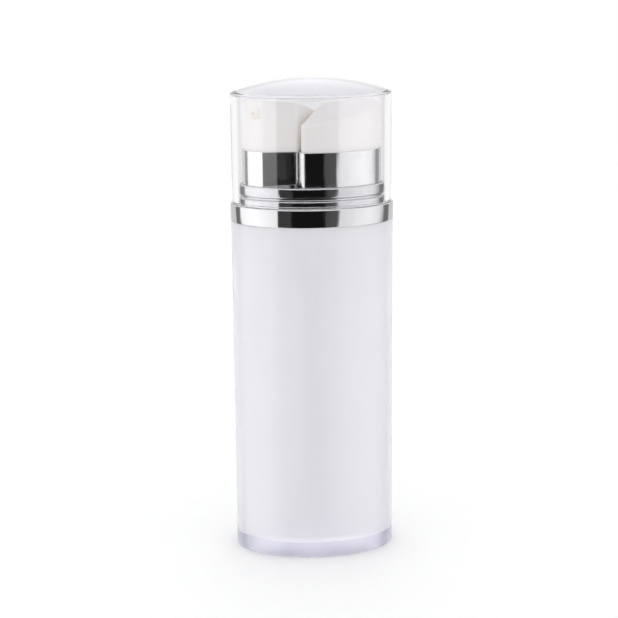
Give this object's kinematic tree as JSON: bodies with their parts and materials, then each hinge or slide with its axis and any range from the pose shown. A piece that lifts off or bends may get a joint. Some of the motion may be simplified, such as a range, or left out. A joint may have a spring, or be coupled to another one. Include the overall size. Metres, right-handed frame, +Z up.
{
  "type": "foundation bottle",
  "caption": "Oval dual chamber pump bottle: two round vials with airless pumps and press heads under a plated shoulder, with a clear domed overcap.",
  "frame": {"origin": "centre of the base, on the surface that the bottle stands on", "axes": "+Z up through the crown of the overcap, +X towards the right-hand vial along the oval's length, -Y is the front"},
  "size_m": [0.0502, 0.0322, 0.149],
  "materials": {
    "frosted_acrylic": "milky acrylic with a faint lavender tint",
    "clear_acrylic": "polished clear acrylic with a faint lavender tint",
    "milky_vial": "natural milky plastic",
    "plated": "bright metal plating on plastic",
    "head_white": "satin white moulded plastic",
    "nozzle_white": "satin warm white moulded plastic",
    "moulded_white": "natural moulded plastic",
    "gasket": "soft foam gasket",
    "steel": "drawn and ground stainless steel"
  },
  "bodies": {
    "bottle": {"outer_bottle": "frosted_acrylic", "plated_shoulder": "plated", "shoulder_insert": "moulded_white", "left_vial": "milky_vial", "right_vial": "milky_vial", "left_pump_housing": "moulded_white", "right_pump_housing": "moulded_white", "left_neck_gasket": "gasket", "right_neck_gasket": "gasket", "left_pump_closure": "moulded_white", "right_pump_closure": "moulded_white", "left_return_spring": "steel", "right_return_spring": "steel"},
    "cap": {"overcap": "clear_acrylic"},
    "left_pump": {"left_press_head": "head_white", "left_nozzle": "nozzle_white", "left_head_sleeve": "plated", "left_pump_stem": "moulded_white", "left_piston_seal": "moulded_white"},
    "right_pump": {"right_press_head": "head_white", "right_nozzle": "nozzle_white", "right_head_sleeve": "plated", "right_pump_stem": "moulded_white", "right_piston_seal": "moulded_white"},
    "left_piston": {"left_follower": "moulded_white"},
    "right_piston": {"right_follower": "moulded_white"},
    "left_valve": {"left_inlet_ball": "steel"},
    "right_valve": {"right_inlet_ball": "steel"}
  },
  "joints": [
    {"name": "cap_lift", "type": "slide", "parent": "bottle", "child": "cap", "axis": [0, 0, 1], "range_m": [0, 0.048]},
    {"name": "left_press", "type": "slide", "parent": "bottle", "child": "left_pump", "axis": [0, 0, -1], "range_m": [0, 0.004], "stiffness_N_per_m": 600, "springref_m": -0.004, "deforming": ["left_return_spring"]},
    {"name": "right_press", "type": "slide", "parent": "bottle", "child": "right_pump", "axis": [0, 0, -1], "range_m": [0, 0.004], "stiffness_N_per_m": 600, "springref_m": -0.004, "deforming": ["right_return_spring"]},
    {"name": "left_follow", "type": "slide", "parent": "bottle", "child": "left_piston", "axis": [0, 0, 1], "range_m": [0, 0.0724]},
    {"name": "right_follow", "type": "slide", "parent": "bottle", "child": "right_piston", "axis": [0, 0, 1], "range_m": [0, 0.0724]},
    {"name": "left_valve_lift", "type": "slide", "parent": "bottle", "child": "left_valve", "axis": [0, 0, 1], "range_m": [0, 0.001]},
    {"name": "right_valve_lift", "type": "slide", "parent": "bottle", "child": "right_valve", "axis": [0, 0, 1], "range_m": [0, 0.001]}
  ]
}
